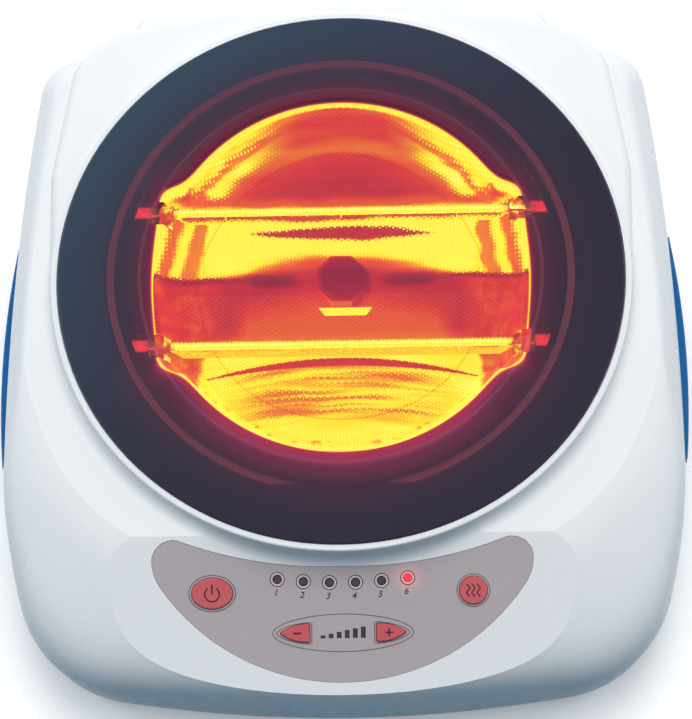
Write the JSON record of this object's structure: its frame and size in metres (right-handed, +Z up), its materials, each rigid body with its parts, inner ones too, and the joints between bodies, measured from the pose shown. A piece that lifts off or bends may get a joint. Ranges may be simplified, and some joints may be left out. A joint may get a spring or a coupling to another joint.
{
  "type": "portable halogen cooktop",
  "caption": "Free-standing halogen cooktop: round dark glass over a lamp heater in a white housing with a sloping key panel, pressing keys, side grips and a cooling fan.",
  "frame": {"origin": "on the surface that the feet stand on, under the middle of the housing", "axes": "+Z up, the key panel faces -Y, +X to the right of someone who faces the keys"},
  "size_m": [0.3568, 0.3902, 0.084],
  "materials": {
    "housing_white": "moulded gloss white",
    "tray_white": "moulded, fine spark-eroded texture",
    "grip_blue": "moulded gloss blue",
    "cooking_glass": "dark tinted glass ceramic, polished top",
    "silicone_black": "silicone",
    "panel_grey": "satin mauve-grey",
    "key_red": "moulded gloss red",
    "light_lens": "tinted lens, unlit",
    "light_lit": "tinted lens, lit",
    "pan_steel": "aluminised steel sheet",
    "reflector_metal": "dimpled bright sheet",
    "insulation_white": "pressed fibre board",
    "quartz": "clear quartz tube",
    "filament_lit": "lit tungsten",
    "cap_ceramic": "steatite",
    "lead_braid": "glass-fibre sleeve",
    "board_green": "coated circuit board",
    "component_black": "moulded",
    "component_yellow": "moulded case",
    "component_blue": "moulded case",
    "heatsink_metal": "extruded",
    "bushing_grey": "moulded",
    "fan_black": "moulded",
    "ribbon_grey": "flat cable",
    "screw_steel": "zinc plated",
    "foot_rubber": "moulded"
  },
  "bodies": {
    "housing": {"base_screws": "screw_steel", "base_tray": "tray_white", "board_screws": "screw_steel", "cord_boss": "housing_white", "cord_bushing": "bushing_grey", "display_board": "board_green", "display_screws": "screw_steel", "fan_frame": "fan_black", "fan_screws": "screw_steel", "filter_capacitor": "component_yellow", "foot_front_left": "foot_rubber", "foot_front_right": "foot_rubber", "foot_rear_left": "foot_rubber", "foot_rear_right": "foot_rubber", "front_filament": "filament_lit", "front_lamp_tube": "quartz", "glass_gasket": "silicone_black", "glass_plate": "cooking_glass", "heater_pan": "pan_steel", "heater_spring_1": "pan_steel", "heater_spring_2": "pan_steel", "heater_spring_3": "pan_steel", "heater_support_1": "pan_steel", "heater_support_2": "pan_steel", "heater_support_3": "pan_steel", "heatsink": "heatsink_metal", "indicator_1": "light_lens", "indicator_2": "light_lens", "indicator_3": "light_lens", "indicator_4": "light_lens", "indicator_5": "light_lens", "indicator_6": "light_lit", "insulating_ring": "insulation_white", "lamp_bracket_left": "pan_steel", "lamp_bracket_right": "pan_steel", "lamp_cap_front_left": "cap_ceramic", "lamp_cap_front_right": "cap_ceramic", "lamp_cap_rear_left": "cap_ceramic", "lamp_cap_rear_right": "cap_ceramic", "lamp_leads": "lead_braid", "left_grip": "grip_blue", "panel_plate": "panel_grey", "power_board": "board_green", "rear_filament": "filament_lit", "rear_lamp_tube": "quartz", "reflector_dish": "reflector_metal", "relay": "component_blue", "ribbon_cable": "ribbon_grey", "right_grip": "grip_blue", "tact_switches": "component_black", "terminal_block": "insulation_white", "thermal_cutout": "component_black", "top_shell": "housing_white", "transformer": "component_black", "triac": "component_black"},
    "on_off_key": {"on_off_key": "key_red"},
    "heat_lamp_key": {"heat_lamp_key": "key_red"},
    "minus_key": {"minus_key": "key_red"},
    "plus_key": {"plus_key": "key_red"},
    "fan_rotor": {"fan_rotor": "fan_black"}
  },
  "joints": [
    {"name": "on_off_press", "type": "slide", "parent": "housing", "child": "on_off_key", "axis": [0, 0.309, -0.9511], "range_m": [0, 0.0007], "stiffness_N_per_m": 900, "springref_m": -0.0006},
    {"name": "heat_lamp_press", "type": "slide", "parent": "housing", "child": "heat_lamp_key", "axis": [0, 0.309, -0.9511], "range_m": [0, 0.0007], "stiffness_N_per_m": 900, "springref_m": -0.0006},
    {"name": "minus_press", "type": "slide", "parent": "housing", "child": "minus_key", "axis": [0, 0.309, -0.9511], "range_m": [0, 0.0007], "stiffness_N_per_m": 900, "springref_m": -0.0006},
    {"name": "plus_press", "type": "slide", "parent": "housing", "child": "plus_key", "axis": [0, 0.309, -0.9511], "range_m": [0, 0.0007], "stiffness_N_per_m": 900, "springref_m": -0.0006},
    {"name": "fan_spin", "type": "hinge", "parent": "housing", "child": "fan_rotor", "pos_m": [0.086, 0.092, 0.019], "axis": [0, 0, 1], "continuous": true}
  ]
}
